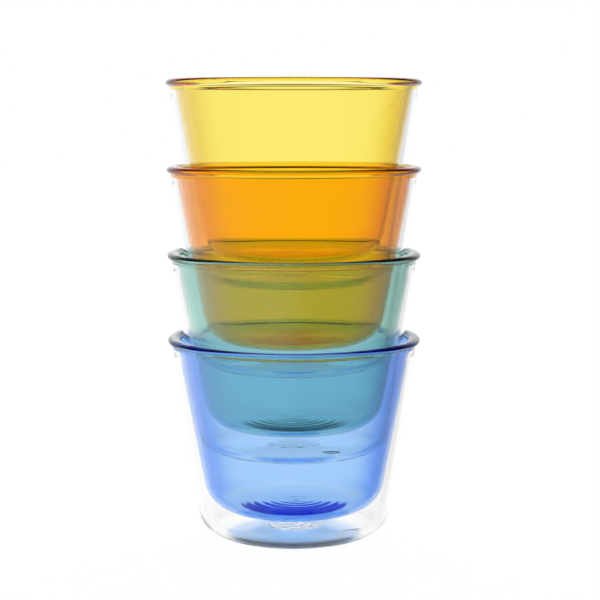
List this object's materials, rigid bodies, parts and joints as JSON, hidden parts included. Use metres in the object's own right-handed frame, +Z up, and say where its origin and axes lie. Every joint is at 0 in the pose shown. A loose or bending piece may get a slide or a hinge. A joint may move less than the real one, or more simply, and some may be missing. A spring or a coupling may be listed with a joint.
{
  "type": "nested double-wall cortado glasses",
  "caption": "Nested stack of double-wall cortado glasses with tinted inner bowls fused at the lip to clear outer shells; each glass lifts out of the one below.",
  "frame": {"origin": "centre of the lowest glass's foot, on the table plane", "axes": "+Z up along the stack's axis, +X to the right and -Y towards the viewer of the picture"},
  "size_m": [0.08, 0.08, 0.1438],
  "materials": {
    "clear_glass": "clear gloss",
    "blue_glass": "clear tinted gloss",
    "green_glass": "clear tinted gloss",
    "orange_glass": "clear tinted gloss",
    "yellow_glass": "clear tinted gloss"
  },
  "bodies": {
    "blue_glass": {"blue_shell": "clear_glass", "blue_bowl": "blue_glass", "blue_vent_seal": "clear_glass"},
    "green_glass": {"green_shell": "clear_glass", "green_bowl": "green_glass", "green_vent_seal": "clear_glass"},
    "orange_glass": {"orange_shell": "clear_glass", "orange_bowl": "orange_glass", "orange_vent_seal": "clear_glass"},
    "yellow_glass": {"yellow_shell": "clear_glass", "yellow_bowl": "yellow_glass", "yellow_vent_seal": "clear_glass"}
  },
  "joints": [
    {"name": "green_lift", "type": "slide", "parent": "blue_glass", "child": "green_glass", "axis": [0, 0, 1], "range_m": [0, 0.045]},
    {"name": "orange_lift", "type": "slide", "parent": "green_glass", "child": "orange_glass", "axis": [0, 0, 1], "range_m": [0, 0.045]},
    {"name": "yellow_lift", "type": "slide", "parent": "orange_glass", "child": "yellow_glass", "axis": [0, 0, 1], "range_m": [0, 0.045]}
  ]
}
